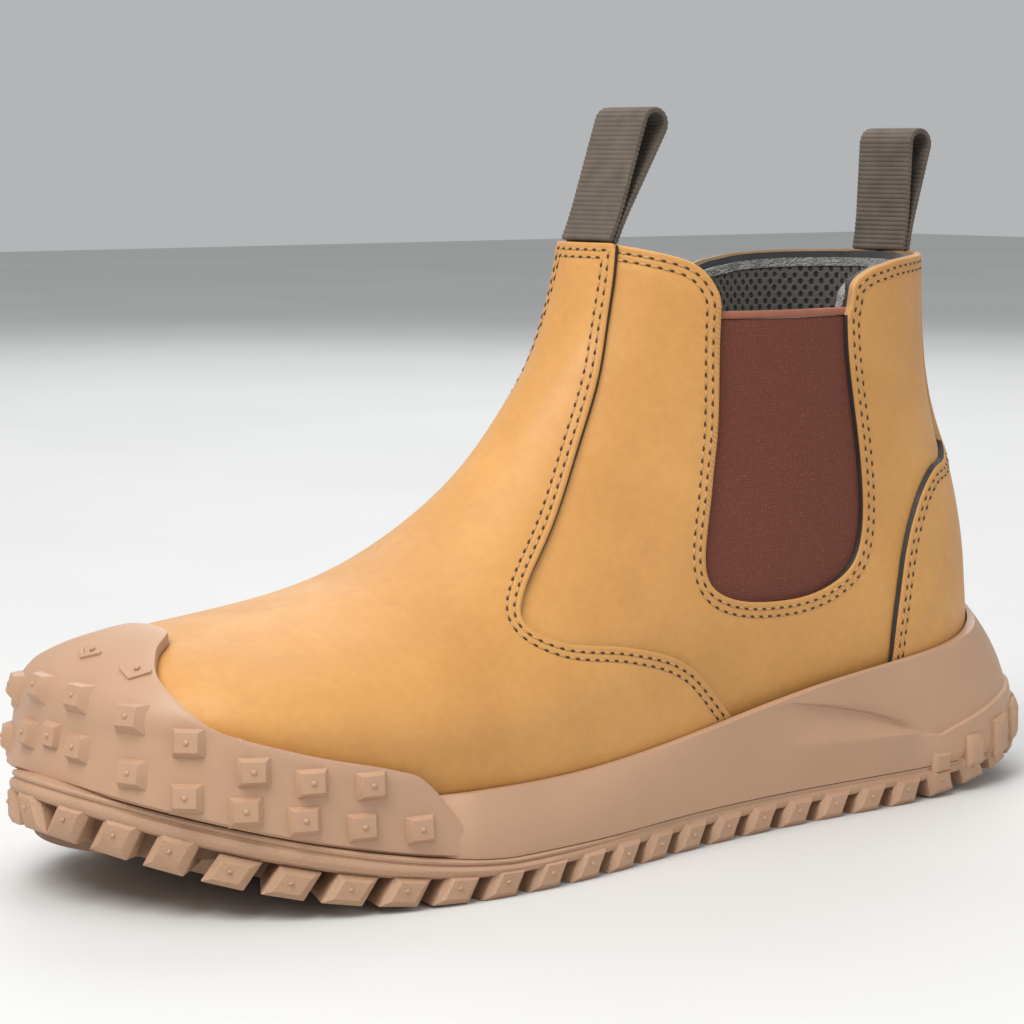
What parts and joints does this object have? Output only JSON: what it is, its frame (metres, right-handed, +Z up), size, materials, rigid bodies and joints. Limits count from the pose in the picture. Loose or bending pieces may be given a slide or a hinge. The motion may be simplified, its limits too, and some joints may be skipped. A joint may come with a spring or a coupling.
{
  "type": "safety boot",
  "caption": "Ankle-high pull-on safety boot, left foot: leather upper with elastic side gores, webbing pull loops, steel toe cap, rubber toe guard and lugged sole.",
  "frame": {"origin": "centre of the boot's box, on the surface it stands on", "axes": "+X to the toe, +Y to the outer (lateral) side of a left foot, +Z up"},
  "size_m": [0.31, 0.1153, 0.1897],
  "materials": {
    "sole": "matt moulded polyurethane and rubber, beige-pink",
    "leather": "smooth wheat nubuck with light oil",
    "elastic": "woven elastic, rust brown",
    "webbing": "ribbed webbing, dark taupe",
    "lining": "open mesh, dark grey",
    "foam": "moulded foam",
    "board": "pressed fibre board",
    "edge_rubber": "soft rubber strip",
    "steel": "plain pressed steel"
  },
  "bodies": {
    "boot": {"outsole": "sole", "midsole": "sole", "toe_guard": "sole", "shank": "steel", "vamp": "leather", "quarter_lateral": "leather", "quarter_medial": "leather", "backstay": "leather", "gore_lateral": "elastic", "gore_medial": "elastic", "steel_toe_cap": "steel", "toe_cap_edge_trim": "edge_rubber", "heel_stiffener": "board", "vamp_lining": "lining", "quarter_lining": "lining", "collar_tape_front": "webbing", "collar_tape_rear": "webbing", "front_loop_tail": "webbing", "rear_loop_tail": "webbing", "insole_board": "board"},
    "front_loop": {"front_pull_loop": "webbing"},
    "rear_loop": {"rear_pull_loop": "webbing"},
    "footbed": {"footbed": "foam", "footbed_cover": "lining"}
  },
  "joints": [
    {"name": "front_loop_flex", "type": "hinge", "parent": "boot", "child": "front_loop", "pos_m": [-0.009, 0.0008, 0.1563], "axis": [0, 1, 0], "range_deg": [-45, 60], "stiffness_Nm_per_rad": 0.005},
    {"name": "rear_loop_flex", "type": "hinge", "parent": "boot", "child": "rear_loop", "pos_m": [-0.116, 0.0008, 0.152], "axis": [0, 1, 0], "range_deg": [-60, 50], "stiffness_Nm_per_rad": 0.005},
    {"name": "footbed_lift", "type": "hinge", "parent": "boot", "child": "footbed", "pos_m": [0.1395, 0.0008, 0.0435], "axis": [0, 1, 0], "range_deg": [0, 6]}
  ]
}
